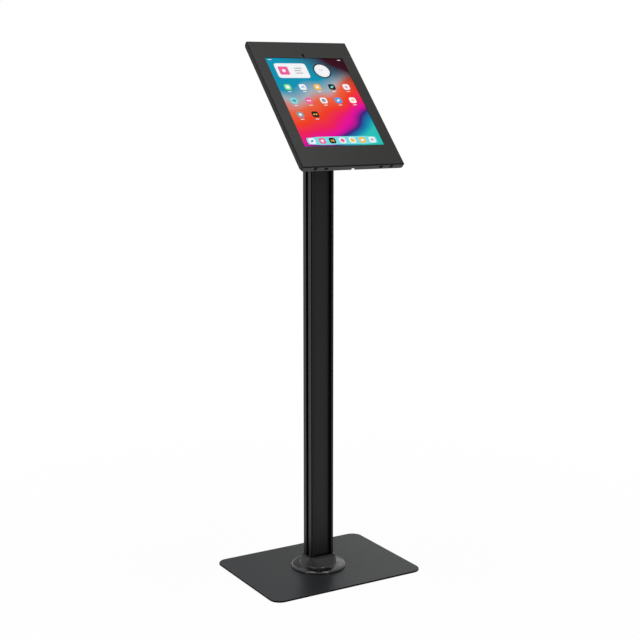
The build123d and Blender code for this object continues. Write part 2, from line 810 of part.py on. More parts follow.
# Foam pads behind the tablet.
with BuildPart() as foam_back_pads:
    with BuildSketch(head_plane.offset(shell_floor)):
        with Locations((0, window_rise)):
            with GridLocations(back_pad_spacing_x, back_pad_spacing_y, 2, 2):
                Rectangle(back_pad_size, back_pad_size)
    extrude(amount=tablet_back - shell_floor)
finish(foam_back_pads, "foam_back_pads")

# Foam blocks between the tablet's edges and the shell's flanges.
shell_half_width = shell_width / 2 - shell_sheet
shell_half_height = shell_height / 2 - shell_sheet
side_block_width = shell_half_width - tablet_width / 2 - slip_clearance
top_edge = window_rise + tablet_height / 2 + slip_clearance
bottom_edge = window_rise - tablet_height / 2 - slip_clearance
with BuildPart() as foam_edge_blocks:
    with BuildSketch(head_plane.offset(shell_floor)):
        with Locations((0, window_rise)):
            with GridLocations(2 * shell_half_width - side_block_width, side_block_spacing, 2, 2):
                Rectangle(side_block_width, edge_block_length)
        with Locations((0, (shell_half_height + top_edge) / 2)):
            with GridLocations(end_block_spacing, 0, 2, 1):
                Rectangle(edge_block_length, shell_half_height - top_edge)
        with Locations((0, (bottom_edge - shell_half_height) / 2)):
            with GridLocations(end_block_spacing, 0, 2, 1):
                Rectangle(edge_block_length, bottom_edge + shell_half_height)
    extrude(amount=edge_block_height)
finish(foam_edge_blocks, "foam_edge_blocks")

# Tablet body: milled aluminium slab with a shallow pocket for the front glass.
with BuildPart() as tablet_body:
    with BuildSketch(head_plane.offset(tablet_back)):
        with Locations((0, window_rise)):
            RectangleRounded(tablet_width, tablet_height, tablet_corner_radius)
    extrude(amount=tablet_thickness)
    back_edges = tablet_body.faces().sort_by(Axis(tilt_axis_point, face_out))[0].edges()
    fillet(back_edges, radius=tablet_back_fillet)
    with BuildSketch(head_plane.offset(glass_back)):
        with Locations((0, window_rise)):
            RectangleRounded(
                tablet_width - 2 * tablet_rim,
                tablet_height - 2 * tablet_rim,
                tablet_corner_radius - tablet_rim,
            )
    extrude(amount=glass_thickness, mode=Mode.SUBTRACT)
finish(tablet_body, "tablet_body")

# Black glass border round the display, with the hole of the camera lens.
glass_rim = tablet_rim + screw_clearance
with BuildPart() as tablet_bezel:
    with BuildSketch(head_plane.offset(glass_back)):
        with Locations((0, window_rise)):
            RectangleRounded(
                tablet_width - 2 * glass_rim,
                tablet_height - 2 * glass_rim,
                tablet_corner_radius - glass_rim,
            )
            RectangleRounded(display_width, display_height, display_corner_radius, mode=Mode.SUBTRACT)
        with Locations((0, camera_rise)):
            Circle(camera_radius + screw_clearance, mode=Mode.SUBTRACT)
    extrude(amount=glass_thickness)
finish(tablet_bezel, "tablet_bezel")

# Lit display panel inside the border.
with BuildPart() as tablet_display:
    with BuildSketch(head_plane.offset(glass_back)):
        with Locations((0, window_rise)):
            RectangleRounded(
                display_width - 2 * screw_clearance,
                display_height - 2 * screw_clearance,
                display_corner_radius,
            )
    extrude(amount=glass_thickness)
finish(tablet_display, "tablet_display")

# Camera lens in the border, behind the slot of the cover.
with BuildPart() as tablet_camera:
    with BuildSketch(head_plane.offset(glass_back)):
        with Locations((0, camera_rise)):
            Circle(camera_radius)
    extrude(amount=glass_thickness)
finish(tablet_camera, "tablet_camera")
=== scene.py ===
import json
import math

import bmesh
import bpy
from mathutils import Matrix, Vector


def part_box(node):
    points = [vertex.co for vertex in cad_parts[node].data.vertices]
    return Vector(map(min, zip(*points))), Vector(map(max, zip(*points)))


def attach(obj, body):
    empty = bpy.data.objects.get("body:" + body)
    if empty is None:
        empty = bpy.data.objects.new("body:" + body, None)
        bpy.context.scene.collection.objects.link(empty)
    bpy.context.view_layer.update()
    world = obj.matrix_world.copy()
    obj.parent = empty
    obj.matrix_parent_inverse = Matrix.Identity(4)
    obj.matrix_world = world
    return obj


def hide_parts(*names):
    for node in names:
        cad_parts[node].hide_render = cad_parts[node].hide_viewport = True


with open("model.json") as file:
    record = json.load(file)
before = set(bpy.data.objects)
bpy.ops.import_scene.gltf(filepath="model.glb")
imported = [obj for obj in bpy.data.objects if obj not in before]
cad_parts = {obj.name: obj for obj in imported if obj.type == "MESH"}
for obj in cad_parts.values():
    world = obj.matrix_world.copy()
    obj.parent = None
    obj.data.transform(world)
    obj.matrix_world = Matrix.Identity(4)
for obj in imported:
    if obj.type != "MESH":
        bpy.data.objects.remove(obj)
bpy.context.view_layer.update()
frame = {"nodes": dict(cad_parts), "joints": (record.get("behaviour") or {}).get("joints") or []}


# Camera: it stands to the left of the stand's front at chest height and looks slightly down.
# Its long lens keeps the column's edges almost parallel.
camera_place = (-1.5021, -2.5353, 1.1365)
camera_turn = math.radians(30.72)
camera_drop = math.radians(10.29)
camera_data = bpy.data.cameras.new("camera")
camera_data.sensor_width = 36
camera_data.lens = 72.79
camera = bpy.data.objects.new("camera", camera_data)
camera.location = camera_place
camera.rotation_euler = (math.pi / 2 - camera_drop, 0, -camera_turn)
bpy.context.scene.collection.objects.link(camera)
bpy.context.scene.camera = camera
bpy.context.scene.view_settings.view_transform = "Standard"


# Floor and surroundings: a wide pale studio floor and plain walls, white behind the stand.
# The coated surfaces scatter the light of a soft grey room, and glossy ones mirror its white
# but for a darker front and one dim corner behind the stand.
class Shade:
    """One socket of a shader. Arithmetic on it adds Math nodes to the same shader."""

    def __init__(self, tree, socket=None):
        self.tree = tree
        self.socket = socket

    def node(self, kind, settings=None, sockets=None, output=0):
        made = self.tree.nodes.new("ShaderNode" + kind)
        for name, value in (settings or {}).items():
            if name == "stops":
                ramp = made.color_ramp
                while len(ramp.elements) < len(value):
                    ramp.elements.new(0.5)
                for element, (place, colour) in zip(ramp.elements, value):
                    element.position = place
                    element.color = (*colour, 1)
            else:
                setattr(made, name, value)
        for name, value in (sockets or {}).items():
            if isinstance(value, Shade):
                self.tree.links.new(value.socket, made.inputs[name])
            elif isinstance(value, tuple) and made.inputs[name].type == "RGBA":
                made.inputs[name].default_value = (*value, 1)
            else:
                made.inputs[name].default_value = value
        return Shade(self.tree, made.outputs[output] if made.outputs else None)

    def other(self, output):
        """Another output of the node that this socket belongs to."""
        return Shade(self.tree, self.socket.node.outputs[output])

    def math(self, operation, *values):
        return self.node("Math", {"operation": operation}, dict(enumerate(values)))

    def __add__(self, value):
        return self.math("ADD", self, value)

    __radd__ = __add__

    def __sub__(self, value):
        return self.math("SUBTRACT", self, value)

    def __rsub__(self, value):
        return self.math("SUBTRACT", value, self)

    def __mul__(self, value):
        return self.math("MULTIPLY", self, value)

    __rmul__ = __mul__

    def __truediv__(self, value):
        return self.math("DIVIDE", self, value)

    def __or__(self, value):
        """The greater of two masks."""
        return self.math("MAXIMUM", self, value)

    def within(self, low, high):
        """The value spread so that low becomes 0 and high becomes 1, and held there beyond them."""
        return self.node("MapRange", {"clamp": True}, {"Value": self, "From Min": low, "From Max": high})

    def blend(self, first, second):
        """Mixes two colours by this value."""
        return self.node("Mix", {"data_type": "RGBA"}, {0: self, 6: first, 7: second}, 2)

    def along(self, direction):
        """How far this vector reaches along a direction."""
        return self.node("VectorMath", {"operation": "DOT_PRODUCT"}, {0: self, 1: tuple(direction)}, "Value")

    def off(self, spot):
        """How far this place lies from a spot."""
        return self.node("VectorMath", {"operation": "DISTANCE"}, {0: self, 1: tuple(spot)}, "Value")

    def unsigned(self):
        """The value without its sign."""
        return self.math("ABSOLUTE", self)


def blank_shade(owner):
    owner.use_nodes = True
    owner.node_tree.nodes.clear()
    return Shade(owner.node_tree)


floor_reach = 9
floor_tone = (0.80, 0.80, 0.80)
backdrop_share = 0.95
shadow_reach = 0.35
plain_reach = 1.6
floor_mesh = bpy.data.meshes.new("studio_floor")
floor_builder = bmesh.new()
bmesh.ops.create_grid(floor_builder, x_segments=8, y_segments=8, size=floor_reach)
floor_builder.to_mesh(floor_mesh)
floor_builder.free()
floor = bpy.data.objects.new("studio_floor", floor_mesh)
bpy.context.scene.collection.objects.link(floor)
floor_finish = bpy.data.materials.new("studio_floor")
shade = blank_shade(floor_finish)
rays = shade.node("LightPath", output="Is Camera Ray")
seen = rays | rays.other("Is Transmission Ray") | rays.other("Is Glossy Ray")
ground = shade.node("TexCoord", output="Object")
far = ground.off((0, 0, 0)).within(shadow_reach, plain_reach)
white_share = backdrop_share + far * (1 - backdrop_share)
painted = shade.node("BsdfDiffuse", sockets={"Color": floor_tone})
white = shade.node("Emission", sockets={"Color": (1, 1, 1), "Strength": 1.0})
floor_surface = shade.node("MixShader", sockets={0: seen * white_share, 1: painted, 2: white})
shade.node("OutputMaterial", sockets={"Surface": floor_surface})
floor_mesh.materials.append(floor_finish)

room_low = (0.30, 0.30, 0.30)
room_high = (0.75, 0.75, 0.76)
room_full_height = 0.9
unlit_front = (0.15, 0.75)
unlit_height = (0.15, 0.6)
unlit_share = 0.75
unlit_depth = 0.35
dim_direction = (0.396, 0.849, 0.350)
dim_edge = 0.965
dim_core = 0.990
dim_share = 0.78
world = bpy.data.worlds.new("studio")
bpy.context.scene.world = world
shade = blank_shade(world)
direction = shade.node("TexCoord", output="Generated")
height = shade.node("SeparateXYZ", sockets={0: direction}, output="Z")
room = height.within(0, room_full_height).blend(room_low, room_high)
unlit_side = (height.other("Y") * -1).within(*unlit_front) * (1 - height.within(*unlit_height))
dim_corner = direction.along(dim_direction).within(dim_edge, dim_core)
rays = shade.node("LightPath", output="Is Camera Ray")
glossy = rays.other("Is Glossy Ray")
dimmed = glossy * dim_corner * dim_share
mirrored = glossy * (1 - unlit_side * unlit_share) * (1 - dimmed)
seen = rays | rays.other("Is Transmission Ray") | mirrored
room = (dimmed + glossy * unlit_side * unlit_depth).blend(room, (0, 0, 0))
room_light = shade.node("Background", sockets={"Color": room, "Strength": 1.0})
backdrop = shade.node("Background", sockets={"Color": (1, 1, 1), "Strength": 1.0})
surroundings = shade.node("MixShader", sockets={0: seen, 1: room_light, 2: backdrop})
shade.node("OutputWorld", sockets={"Surface": surroundings})


# Lamps: two soft boxes over the stand, a tall narrow one on each side of the camera, and a
# small low one behind on the right, which lights one half of the collar's dish.
# They face the stand and give the coated surfaces their long soft highlights.
def soft_box(name, place, aim, width, height, power):
    lamp_data = bpy.data.lights.new(name, "AREA")
    lamp_data.shape = "RECTANGLE"
    lamp_data.size = width
    lamp_data.size_y = height
    lamp_data.energy = power
    lamp = bpy.data.objects.new(name, lamp_data)
    lamp.location = place
    lamp.rotation_mode = "QUATERNION"
    lamp.rotation_quaternion = (Vector(aim) - Vector(place)).to_track_quat("-Z", "Y")
    bpy.context.scene.collection.objects.link(lamp)


def around(azimuth, distance, height):
    """A place in the studio: degrees round from the front towards the right, metres out and up."""
    turn = math.radians(azimuth)
    return (math.sin(turn) * distance, -math.cos(turn) * distance, height)


soft_box("top_left_box", (-0.80, 0.25, 3.4), (-0.1, 0, 0), 0.9, 0.9, 21)
soft_box("top_right_box", (0.75, -0.65, 3.4), (0.1, 0, 0), 0.9, 0.9, 21)
soft_box("left_box", around(-78, 3.2, 1.5), (0, 0, 0.6), 0.7, 1.4, 10)
soft_box("right_box", around(8, 3.4, 1.6), (0, 0, 0.6), 0.6, 1.4, 8)
soft_box("rim_box", around(144.5, 3.0, 1.12), (0, 0, 0.01), 0.42, 0.7, 0.4)


# Base plate: laser-cut steel sheet with rounded corners, lightly chamfered round its top.
# It has a fine-textured satin powder coat, with painted shade on its cut edges, and lies
# free on the floor on its rubber pads.
def grain(shade, place, scale, detail=3, roughness=0.6):
    """Even random grain, from 0 to 1, a given number of times per metre."""
    return shade.node("TexNoise", sockets={
        "Vector": place, "Scale": scale, "Detail": detail, "Roughness": roughness,
    })


def relief(shade, height, depth, strength=1.0):
    """Surface relief from a height between 0 and 1, as deep as the real one in metres."""
    sockets = {"Strength": strength, "Distance": depth, "Height": height}
    return shade.node("Bump", sockets=sockets, output="Normal")


# Painted shade: the near-black, barely reflecting colour given to edges and corners.
def edge_shade_sockets(shade, place):
    edge_shade_grain = grain(shade, place, 900, 2)
    return {
        "Base Color": edge_shade_grain.blend((0.0015, 0.0015, 0.0016), (0.0030, 0.0030, 0.0031)),
        "Roughness": 0.55 + edge_shade_grain * 0.1,
        "Specular IOR Level": 0.02,
    }


def surfaced(name, sockets_of, flat_of=None):
    """A material from a function that gives the sockets of its surface. Where flat_of is given and
    falls to 0, the surface turns to painted shade, near-black and dull."""
    material = bpy.data.materials.new(name)
    shade = blank_shade(material)
    place = shade.node("TexCoord", output="Object")
    if flat_of:
        edge = shade.node("BsdfPrincipled", sockets=edge_shade_sockets(shade, place))
    surface = shade.node("BsdfPrincipled", sockets=sockets_of(shade, place))
    if flat_of:
        surface = shade.node("MixShader", sockets={0: flat_of(place), 1: edge, 2: surface})
    shade.node("OutputMaterial", sockets={"Surface": surface})
    return material


def powder_sockets(shade, place, level=0.26, thin=(0.0096, 0.0110, 0.0124), full=(0.0113, 0.0129, 0.0145)):
    pores = grain(shade, place, 2100, 2)
    ripple = grain(shade, place, 420, 3)
    cloud = grain(shade, place, 9, 2)
    return {
        "Base Color": cloud.within(0.35, 0.65).blend(thin, full),
        "Roughness": 0.30 + ripple * 0.10 + cloud * 0.04,
        "Specular IOR Level": level,
        "Normal": relief(shade, pores * 0.6 + ripple * 0.4, 0.00003, 0.5),
    }


def dress(node, material):
    """Gives a solid of the frame its finish."""
    slots = frame["nodes"][node].data.materials
    slots.clear()
    slots.append(material)


edge_slope = (0.05, 0.35)


def flat_on_top(place):
    """The flat faces above and below; the cut edge round them gets painted shade."""
    upright = place.other("Normal").along((0, 0, 1))
    return (upright * upright).within(*edge_slope)


dress("base_plate", surfaced("plate_coat", powder_sockets, flat_on_top))


# Rubber pads: four soft discs punched from sheet and stuck under the plate's corners.
# They are matt, with the fine woven print of the sheet that the rubber was pressed on.
def rubber_sockets(shade, place):
    weave = shade.node("TexWave", {"wave_type": "BANDS", "bands_direction": "DIAGONAL"}, {
        "Vector": place, "Scale": 260, "Distortion": 0.6,
    })
    speck = grain(shade, place, 1500)
    return {
        "Base Color": speck.blend((0.010, 0.010, 0.010), (0.020, 0.020, 0.019)),
        "Roughness": 0.74 + speck * 0.14,
        "Normal": relief(shade, weave * 0.5 + speck * 0.5, 0.00006, 0.6),
    }


dress("foot_pads", surfaced("pad_rubber", rubber_sockets))


# Foot flange, tilt washers and stop pins: turned and stamped steel, barrel plated with zinc,
# which has a faint cloudy spangle. The flange is bolted to the plate from below, under the
# collar, the washers lie on the tilt bolt, and the pins are pressed in.
def zinc_sockets(shade, place):
    spangle = shade.node("TexVoronoi", {"feature": "F1"}, {"Vector": place, "Scale": 420}, "Color")
    tone = shade.node("SeparateColor", sockets={0: spangle}, output="Red")
    scratch = grain(shade, place, 1800, 2)
    return {
        "Base Color": tone.blend((0.50, 0.51, 0.53), (0.60, 0.61, 0.62)),
        "Metallic": 1.0,
        "Roughness": 0.27 + tone * 0.10 + scratch * 0.08,
        "Normal": relief(shade, scratch, 0.00001, 0.4),
    }


zinc_steel = surfaced("zinc_steel", zinc_sockets)
for plated in ("foot_flange", "tilt_washers", "tilt_stop_pin", "rotation_stop_pin"):
    dress(plated, zinc_steel)


# Countersunk screws: cold-headed steel with a hexagon socket and rolled threads, black oxide
# or zinc. They hold plate to flange, flange and head to the column, and plate to tray.
socket_depth_share = 0.8
socket_tip_share = 0.35
socket_tip_depth = 1.12
wide_socket = 0.34
narrow_socket = 0.32
thread_start_share = 0.6
thread_flank_share = 0.4
thread_root_share = 0.15
thread_depth_share = 0.3
widest_land = 0.00012
land_share = 0.03
level_gap = 0.00001
m3_pitch = 0.0005
m4_pitch = 0.0007
m6_pitch = 0.001


def skin(builder, rings, closed=False):
    """Joins rings of points one after another; the ends are capped, or joined to each other."""
    count = len(rings[0])
    for lower, upper in zip(rings, rings[1:] + (rings[:1] if closed else [])):
        for step in range(count):
            after = (step + 1) % count
            builder.faces.new((lower[step], lower[after], upper[after], upper[step]))
    if not closed:
        builder.faces.new(list(reversed(rings[0])))
        builder.faces.new(rings[-1])


def skin_rows(builder, rows, segments, lay, closed=False):
    """Skins rows of outline and height. An outline gives the radius by angle; lay puts points in place."""
    rings = []
    for outline, height in rows:
        ring = []
        for step in range(segments):
            angle = 2 * math.pi * step / segments
            reach = outline(angle)
            ring.append(builder.verts.new(lay(reach * math.cos(angle), reach * math.sin(angle), height)))
        rings.append(ring)
    skin(builder, rings, closed)


def disc(radius):
    return lambda angle: radius


def hexagon(half_flats):
    sixth = math.pi / 3
    return lambda angle: half_flats / math.cos((angle % sixth) - sixth / 2)


def place_piece(name, builder, finishes, body, replaced=(), crease=35):
    """Makes an object of the built mesh, shades it smooth but for its creases, and lets it ride."""
    bmesh.ops.recalc_face_normals(builder, faces=builder.faces)
    for edge in builder.edges:
        if len(edge.link_faces) == 2 and edge.calc_face_angle(0) > math.radians(crease):
            edge.smooth = False
    for face in builder.faces:
        face.smooth = True
    mesh = bpy.data.meshes.new(name)
    builder.to_mesh(mesh)
    builder.free()
    for finish in finishes:
        mesh.materials.append(finish)
    piece = bpy.data.objects.new(name, mesh)
    bpy.context.scene.collection.objects.link(piece)
    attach(piece, body)
    if replaced:
        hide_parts(*replaced)
    return piece


def islands(node):
    """The separate solids of a node, each as the list of its points."""
    builder = bmesh.new()
    builder.from_mesh(frame["nodes"][node].data)
    bmesh.ops.remove_doubles(builder, verts=builder.verts, dist=0.000001)
    waiting = set(builder.verts)
    groups = []
    while waiting:
        reached = [waiting.pop()]
        group = []
        while reached:
            point = reached.pop()
            group.append(point.co.copy())
            for edge in point.link_edges:
                neighbour = edge.other_vert(point)
                if neighbour in waiting:
                    waiting.remove(neighbour)
                    reached.append(neighbour)
        groups.append(group)
    builder.free()
    return sorted(groups, key=lambda group: tuple(round(value, 5) for value in group_middle(group)))


def group_middle(group):
    return sum(group, Vector()) / len(group)


def screw_rows(head_radius, shank_radius, length, socket_flats, pitch):
    """Rows of a countersunk screw from its socket's floor round to its tip, as outline and height."""
    head_height = head_radius - shank_radius
    socket_depth = head_height * socket_depth_share
    root_radius = shank_radius - pitch * thread_depth_share
    land = min(widest_land, head_radius * land_share)
    yield hexagon(socket_flats * socket_tip_share), -socket_depth * socket_tip_depth
    yield hexagon(socket_flats / 2), -socket_depth
    yield hexagon(socket_flats / 2), -land
    yield hexagon(socket_flats / 2 + land), 0
    yield disc(head_radius - land), 0
    yield disc(head_radius), -land
    yield disc(shank_radius), -head_height
    turns = int((length - head_height - pitch * 2) / pitch)
    for turn in range(turns):
        start = -head_height - pitch * (turn + thread_start_share)
        root = start - pitch * thread_flank_share
        yield disc(shank_radius), start
        yield disc(root_radius), root
        yield disc(root_radius), root - pitch * thread_root_share
    yield disc(shank_radius), -length + pitch
    yield disc(root_radius), -length


def end_of(group, axis):
    """The points at a solid's far end along an axis."""
    farthest = max(point.dot(axis) for point in group)
    return [point for point in group if point.dot(axis) > farthest - level_gap]


def middle_of(points):
    """The middle of the box round some points."""
    low, high = zip(*[(min(values), max(values)) for values in zip(*points)])
    return (Vector(low) + Vector(high)) / 2


def reach_of(points, centre):
    return max((point - centre).length for point in points)


def laid_round(centre, axis):
    """Puts points round a spot, and out from it along an axis."""
    across = axis.orthogonal().normalized()
    beside = axis.cross(across)
    return lambda right, up, out: centre + across * right + beside * up + axis * out


def screw_set(name, node, head_side, material, body, socket_share, pitch, segments=36):
    """Countersunk screws with sockets and threads, each in the place of one of the node's solids."""
    builder = bmesh.new()
    axis = head_side.normalized()
    for group in islands(node):
        heights = [point.dot(axis) for point in group]
        length = max(heights) - min(heights)
        head = end_of(group, axis)
        centre = middle_of(head)
        head_radius = reach_of(head, centre)
        shank_radius = reach_of(end_of(group, -axis), centre - axis * length)
        rows = screw_rows(head_radius, shank_radius, length, 2 * head_radius * socket_share, pitch)
        skin_rows(builder, rows, segments, laid_round(centre, axis))
    return place_piece(name, builder, [material], body, [node])


def oxide_sockets(shade, place):
    mottle = grain(shade, place, 700)
    return {
        "Base Color": mottle.blend((0.010, 0.010, 0.011), (0.022, 0.021, 0.022)),
        "Metallic": 0.85,
        "Roughness": 0.34 + mottle * 0.16,
        "Normal": relief(shade, mottle, 0.00001, 0.5),
    }


black_steel = surfaced("black_steel", oxide_sockets)
joints = {joint["name"]: joint for joint in frame["joints"]}
face_out = Vector(joints["enclosure_turn"]["axis"]).normalized()
down = Vector((0, 0, -1))
screw_set("base_bolts", "base_bolts", down, black_steel, "stand", wide_socket, m6_pitch)
screw_set("foot_screws", "foot_screws", down, zinc_steel, "stand", narrow_socket, m4_pitch)
screw_set("head_screws", "head_screws", -down, black_steel, "stand", narrow_socket, m4_pitch)
screw_set(
    "swivel_screws", "swivel_plate_screws", -face_out, black_steel, "enclosure",
    wide_socket, m4_pitch,
)


# Security screws: small countersunk screws in the enclosure's lower wall, with a pin in the
# socket so that only the matching key turns them. They lock the cover on the tray.
# Their near-black, dull colour is painted shade for the recessed sockets.
def shaded_screw_sockets(shade, place):
    mottle = grain(shade, place, 900, 3)
    return {
        "Base Color": mottle.blend((0.0012, 0.0012, 0.0012), (0.0024, 0.0024, 0.0024)),
        "Roughness": 0.45 + mottle * 0.15,
        "Specular IOR Level": 0.03,
        "Normal": relief(shade, mottle, 0.00001, 0.5),
    }


face_up = face_out.cross(Vector((1, 0, 0)))
security_socket = 0.36
pin_radius = 0.00034
pin_foot = -0.0012
pin_top = -0.00004
pin_break = 0.00008
pin_segments = 16
pin_side = disc(pin_radius)
pin_rows = (pin_side, pin_foot), (pin_side, pin_top - pin_break), (disc(pin_radius - pin_break), pin_top)
shaded_black_steel = surfaced("shaded_black_steel", shaded_screw_sockets)
screw_set(
    "security_screws", "security_screws", -face_up, shaded_black_steel, "enclosure",
    security_socket, m3_pitch,
)
security_pins = bmesh.new()
for group in islands("security_screws"):
    centre = middle_of(end_of(group, -face_up))
    skin_rows(security_pins, pin_rows, pin_segments, laid_round(centre, -face_up))
place_piece("security_pins", security_pins, [shaded_black_steel], "enclosure")


# Collar: glossy black cover, injection moulded, that slides down the column and clips over
# the foot flange. Inside its rounded rim lies a shallow dish, and a round neck with a duller
# skin rises from it to the sleeve round the column.
collar_low, collar_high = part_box("base_collar")
collar_bottom = collar_low.z
collar_reach = collar_high.x
collar_top = collar_high.z
column_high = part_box("column")[1]
half_width = column_high.x
half_depth = column_high.y
side_rise = 0.002
rim_width = 0.006
rim_rise = 0.005
rim_step = 0.0004
rim_fall = 0.0006
foot_reach = 0.043
foot_fillet = 0.003
foot_round_share = 0.985
sleeve_wall = 0.005
sleeve_corner = 0.008
sleeve_straight = 0.003
sleeve_rounding = 0.0012
collar_wall = 0.0012
dish_reach = collar_reach - rim_width - rim_step
dish_top = collar_bottom + side_rise + rim_rise - rim_fall
dish_rise = 0.0016
neck_foot = dish_top + dish_rise
sleeve_start = collar_top - sleeve_straight
fit_gap = 0.0003
column_corner = 0.003
foot_break = 0.0002
hole_chamfer = 0.0004
rim_steps = 12
fillet_steps = 8
neck_steps = 12
rounding_steps = 5
inner_steps = 6


def rounded_box(half_x, half_y, corner):
    """Reach of a rounded rectangle by angle."""
    def outline(angle):
        right = abs(math.cos(angle))
        ahead = abs(math.sin(angle))
        if right * (half_y - corner) >= ahead * half_x:
            return half_x / right
        if ahead * (half_x - corner) >= right * half_y:
            return half_y / ahead
        along = right * (half_x - corner) + ahead * (half_y - corner)
        off = (half_x - corner) ** 2 + (half_y - corner) ** 2
        return along + math.sqrt(max(along * along - off + corner * corner, 0))
    return outline


def neck_outline(share, inset):
    """The collar's neck at a share of its rise, from its round foot to the sleeve, drawn in by the inset."""
    half_x = foot_reach + (half_width + sleeve_wall - foot_reach) * share
    half_y = foot_reach + (half_depth + sleeve_wall - foot_reach) * share
    foot_corner = foot_round_share * foot_reach
    corner = foot_corner + (sleeve_corner - foot_corner) * share
    return rounded_box(half_x - inset, half_y - inset, corner - inset)


def collar_rows():
    """Closed run of rows: up the outside, over the sleeve's edge, down the hole and along the underside."""
    yield disc(collar_reach - foot_break), collar_bottom
    yield disc(collar_reach), collar_bottom + foot_break
    for step in range(rim_steps + 1):
        turn = math.pi / 2 * step / rim_steps
        reach = collar_reach - rim_width + rim_width * math.cos(turn)
        yield disc(reach), collar_bottom + side_rise + rim_rise * math.sin(turn)
    yield disc(dish_reach), dish_top
    neck_rise = sleeve_start - neck_foot
    for step in range(fillet_steps + 1):
        climb = foot_fillet * (step / fillet_steps) ** 2
        spread = foot_fillet * (1 - step / fillet_steps) ** 2
        yield neck_outline(climb / neck_rise, -spread), neck_foot + climb
    for step in range(1, neck_steps + 1):
        share = (foot_fillet + (neck_rise - foot_fillet) * step / neck_steps) / neck_rise
        yield neck_outline(share, 0), neck_foot + neck_rise * share
    for step in range(rounding_steps + 1):
        turn = math.pi / 2 * step / rounding_steps
        inset = sleeve_rounding * (1 - math.cos(turn))
        yield neck_outline(1, inset), collar_top - sleeve_rounding * (1 - math.sin(turn))
    hole_x = half_width + fit_gap
    hole_y = half_depth + fit_gap
    hole_corner = column_corner + fit_gap
    yield rounded_box(hole_x + hole_chamfer, hole_y + hole_chamfer, hole_corner), collar_top
    yield rounded_box(hole_x, hole_y, hole_corner), collar_top - hole_chamfer
    yield rounded_box(hole_x, hole_y, hole_corner), sleeve_start - collar_wall
    for step in range(inner_steps, -1, -1):
        share = step / inner_steps
        yield neck_outline(share, collar_wall), dish_top - collar_wall + neck_rise * share
    yield disc(dish_reach - collar_wall), dish_top - collar_wall
    yield disc(dish_reach - collar_wall), collar_bottom


def gloss_sockets(shade, place):
    haze = grain(shade, place, 60, 4)
    swirl = grain(shade, place, 14, 2)
    return {
        "Base Color": haze.blend((0.0040, 0.0040, 0.0044), (0.0060, 0.0060, 0.0064)),
        "Roughness": 0.04 + haze.within(0.3, 0.9) * 0.05,
        "Specular IOR Level": 0.55,
        "Normal": relief(shade, swirl, 0.0004, 0.12),
    }


def neck_sockets(shade, place):
    haze = grain(shade, place, 60, 4)
    grit = grain(shade, place, 1600, 2)
    return {
        "Base Color": haze.blend((0.019, 0.019, 0.018), (0.025, 0.025, 0.024)),
        "Roughness": 0.10 + haze.within(0.3, 0.9) * 0.08,
        "Specular IOR Level": 0.22,
        "Normal": relief(shade, grit, 0.00002, 0.3),
    }


def lay_upright(right, up, out):
    return Vector((right, up, out))


gloss_plastic = surfaced("gloss_plastic", gloss_sockets)
collar_builder = bmesh.new()
collar_segments = 240
skin_rows(collar_builder, collar_rows(), collar_segments, lay_upright, closed=True)
for face in collar_builder.faces:
    if face.calc_center_median().z > neck_foot:
        face.material_index = 1
collar_finishes = [gloss_plastic, surfaced("neck_plastic", neck_sockets)]
place_piece(
    "base_collar", collar_builder, collar_finishes, "stand", ["base_collar"], crease=28,
)


# Column: aluminium extrusion with undercut channels in front and behind and a groove in each
# side, satin black anodised. Fine die lines run along its whole length; its rounded corners
# and a thin line along the channels' lips carry painted shade.
def anodised_sockets(shade, place):
    drawn = shade.node("Mapping", sockets={"Vector": place, "Scale": (1.0, 1.0, 0.012)})
    lines = grain(shade, drawn, 900, 2)
    broad = grain(shade, drawn, 160, 2)
    return {
        "Base Color": broad.within(0.3, 0.7).blend((0.0040, 0.0040, 0.0039), (0.0056, 0.0056, 0.0054)),
        "Roughness": 0.34 + lines * 0.12,
        "Specular IOR Level": 0.28,
        "Normal": relief(shade, lines * 0.7 + broad * 0.3, 0.00002, 0.5),
    }


corner_slope = (0.80, 0.96)
channel_mouth_half = 0.0225
lip_edge = 0.0011
lip_depth = 0.0015
lip_fade = 0.0005


def flat_on_sides(place):
    """The flat faces, but for the rounded corners and a thin line along the channels' lips, which get
    painted shade.
    """
    facing = place.other("Normal")
    sideways = facing.along((1, 0, 0))
    forward = facing.along((0, 1, 0))
    flat = (sideways * sideways | forward * forward).within(*corner_slope)
    past_mouth = place.along((1, 0, 0)).unsigned() - channel_mouth_half
    lip_start = half_depth - lip_depth
    outside = place.along((0, 1, 0)).unsigned().within(lip_start, lip_start + lip_fade)
    # The dark line along each channel's mouth is a painted shadow of the lip.
    lip_shadow_line = (1 - past_mouth.within(lip_edge * 0.9, lip_edge)) * outside
    return flat * (1 - lip_shadow_line)


dress("column", surfaced("column_coat", anodised_sockets, flat_on_sides))


# Cable cover: strip of extruded black plastic that snaps behind the lips of the rear channel.
# It has the soft sheen and faint draw lines of unpolished extruded plastic.
def strip_sockets(shade, place):
    drawn = shade.node("Mapping", sockets={"Vector": place, "Scale": (1.0, 1.0, 0.02)})
    lines = grain(shade, drawn, 500, 3)
    return {
        "Base Color": lines.blend((0.014, 0.014, 0.0145), (0.020, 0.020, 0.0205)),
        "Roughness": 0.46 + lines * 0.12,
        "Normal": relief(shade, lines, 0.00002, 0.5),
    }


dress("rear_cable_cover", surfaced("matte_plastic", strip_sockets))


# Column head: cast aluminium cap with the hinge post, coated black like the plate.
# The coat lies over the slightly pebbled skin of the casting.
def cast_sockets(shade, place):
    pebble = shade.node("TexVoronoi", {"feature": "SMOOTH_F1"}, {"Vector": place, "Scale": 700}, "Distance")
    cloud = grain(shade, place, 40)
    return {
        "Base Color": cloud.blend((0.018, 0.018, 0.019), (0.026, 0.026, 0.027)),
        "Roughness": 0.44 + cloud * 0.10,
        "Normal": relief(shade, pebble, 0.00008, 0.6),
    }


dress("column_head", surfaced("cast_coat", cast_sockets))


